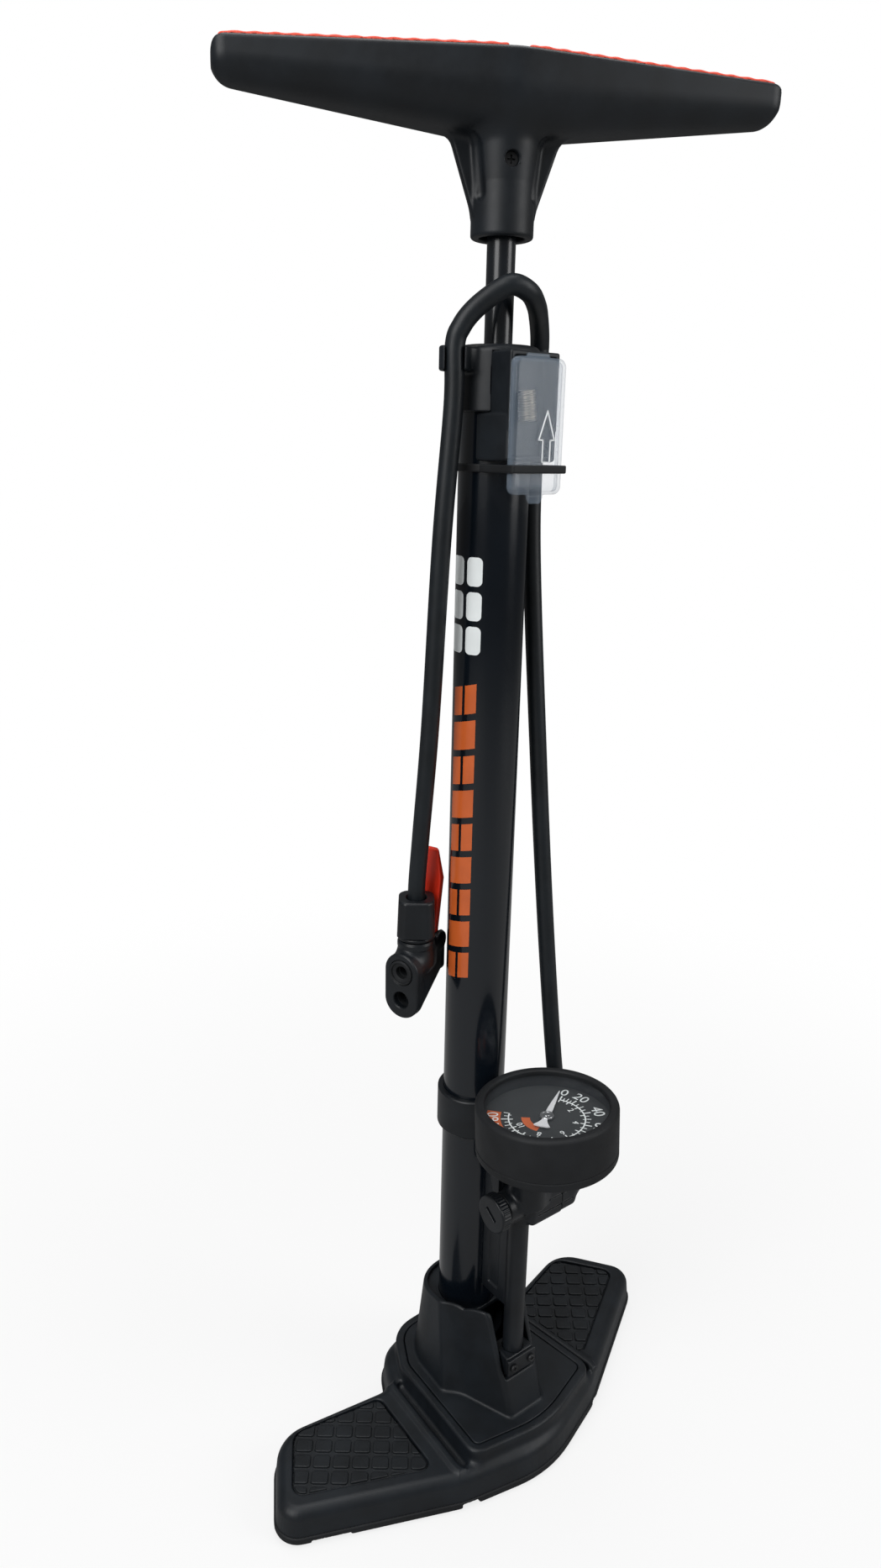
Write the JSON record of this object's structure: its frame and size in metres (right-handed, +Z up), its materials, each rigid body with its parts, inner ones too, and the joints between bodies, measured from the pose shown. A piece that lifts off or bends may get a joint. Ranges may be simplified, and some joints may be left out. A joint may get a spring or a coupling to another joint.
{
  "type": "floor bike pump",
  "caption": "Floor pump with a wide foot base, steel barrel, T handle, base-mounted round pressure gauge, stowed hose with a twin valve head, and a small clear-lidded box.",
  "frame": {"origin": "on the floor, under the barrel's axis", "axes": "+Z up along the barrel, -Y towards the gauge and the front of the base, +X to the right seen from the gauge side"},
  "size_m": [0.2621, 0.1527, 0.6725],
  "materials": {
    "black_plastic": "satin moulded nylon with a fine texture",
    "tread_plastic": "matte moulded nylon with raised square tiles",
    "black_rubber": "soft matte rubber",
    "hose_rubber": "satin black hose cover",
    "barrel_paint": "glossy blue-black paint with printed bars",
    "rod_paint": "satin black paint",
    "hose_ferrule": "satin",
    "red_grip": "soft matte thermoplastic rubber",
    "red_lever": "semi-gloss",
    "clear_lid": "clear polycarbonate",
    "gauge_glass": "clear acrylic",
    "dial_black": "matte black print",
    "needle_silver": "satin",
    "gauge_steel": "black enamel",
    "brass": "machined",
    "nickel": "satin nickel plate",
    "zinc_steel": "zinc plated",
    "black_steel": "black oxide",
    "white_nylon": "self-lubricating nylon"
  },
  "bodies": {
    "pump": {"base_body": "black_plastic", "base_underplate": "black_plastic", "rubber_feet": "black_rubber", "left_tread": "tread_plastic", "right_tread": "tread_plastic", "barrel_socket": "black_plastic", "socket_screws": "zinc_steel", "foot_block": "black_plastic", "barrel_gasket": "black_rubber", "check_valve_spring": "zinc_steel", "stem_clamp": "black_plastic", "stem_clamp_screws": "zinc_steel", "stem_tube": "rod_paint", "stem_seals": "black_rubber", "barrel": "barrel_paint", "gauge_bracket": "black_plastic", "manifold": "black_plastic", "manifold_plug": "black_plastic", "plug_seal": "black_rubber", "hose_elbow": "black_plastic", "hose_ferrule": "hose_ferrule", "hose": "hose_rubber", "gauge_stem": "brass", "gauge_boot": "black_rubber", "gauge_case": "gauge_steel", "gauge_dial": "dial_black", "gauge_lens": "gauge_glass", "gauge_movement": "brass", "bourdon_tube": "brass", "barrel_cap": "black_plastic", "rod_bushing": "white_nylon", "rod_wiper": "black_rubber", "adapter_box": "black_plastic", "retaining_strap": "black_plastic", "presta_adapter": "nickel", "chuck_nut": "black_plastic", "chuck_body": "black_plastic", "chuck_lever_pin": "black_steel", "presta_port_ring": "black_plastic", "presta_seal": "black_rubber", "schrader_seal": "black_rubber"},
    "piston": {"piston_head": "white_nylon", "piston_ring": "black_rubber"},
    "handle": {"piston_rod": "rod_paint", "piston_nut": "zinc_steel", "handle_body": "black_plastic", "left_grip": "red_grip", "right_grip": "red_grip", "handle_screw": "black_steel"},
    "lid": {"box_lid": "clear_lid"},
    "lever": {"chuck_lever": "red_lever"},
    "needle": {"gauge_needle": "needle_silver"},
    "sector": {"sector_gear": "brass"},
    "check_valve": {"check_valve_disc": "black_rubber"}
  },
  "joints": [
    {"name": "piston_slide", "type": "slide", "parent": "pump", "child": "piston", "axis": [0, 0, 1], "range_m": [-0.02, 0.442]},
    {"name": "handle_spin", "type": "hinge", "parent": "piston", "child": "handle", "pos_m": [0, 0, 0.6], "axis": [0, 0, 1], "continuous": true},
    {"name": "lid_slide", "type": "slide", "parent": "pump", "child": "lid", "axis": [0, 0, 1], "range_m": [0, 0.045]},
    {"name": "lever_flip", "type": "hinge", "parent": "pump", "child": "lever", "pos_m": [-0.01646, 0.0177, 0.284], "axis": [-0.3404, 0.9403, 0], "range_deg": [0, 90]},
    {"name": "needle_turn", "type": "hinge", "parent": "pump", "child": "needle", "pos_m": [0, -0.05646, 0.21142], "axis": [0, -0.0732, -0.9973], "range_deg": [0, 256]},
    {"name": "sector_turn", "type": "hinge", "parent": "pump", "child": "sector", "pos_m": [0.0164, -0.05678, 0.20704], "axis": [0, -0.0732, -0.9973], "range_deg": [-35.6, 0]},
    {"name": "check_valve_lift", "type": "slide", "parent": "pump", "child": "check_valve", "axis": [0, 0, 1], "range_m": [0, 0.002], "deforming": ["check_valve_spring"]}
  ],
  "couplings": [
    {"joint": "sector_turn", "follows": "needle_turn", "ratio": -0.13889}
  ]
}
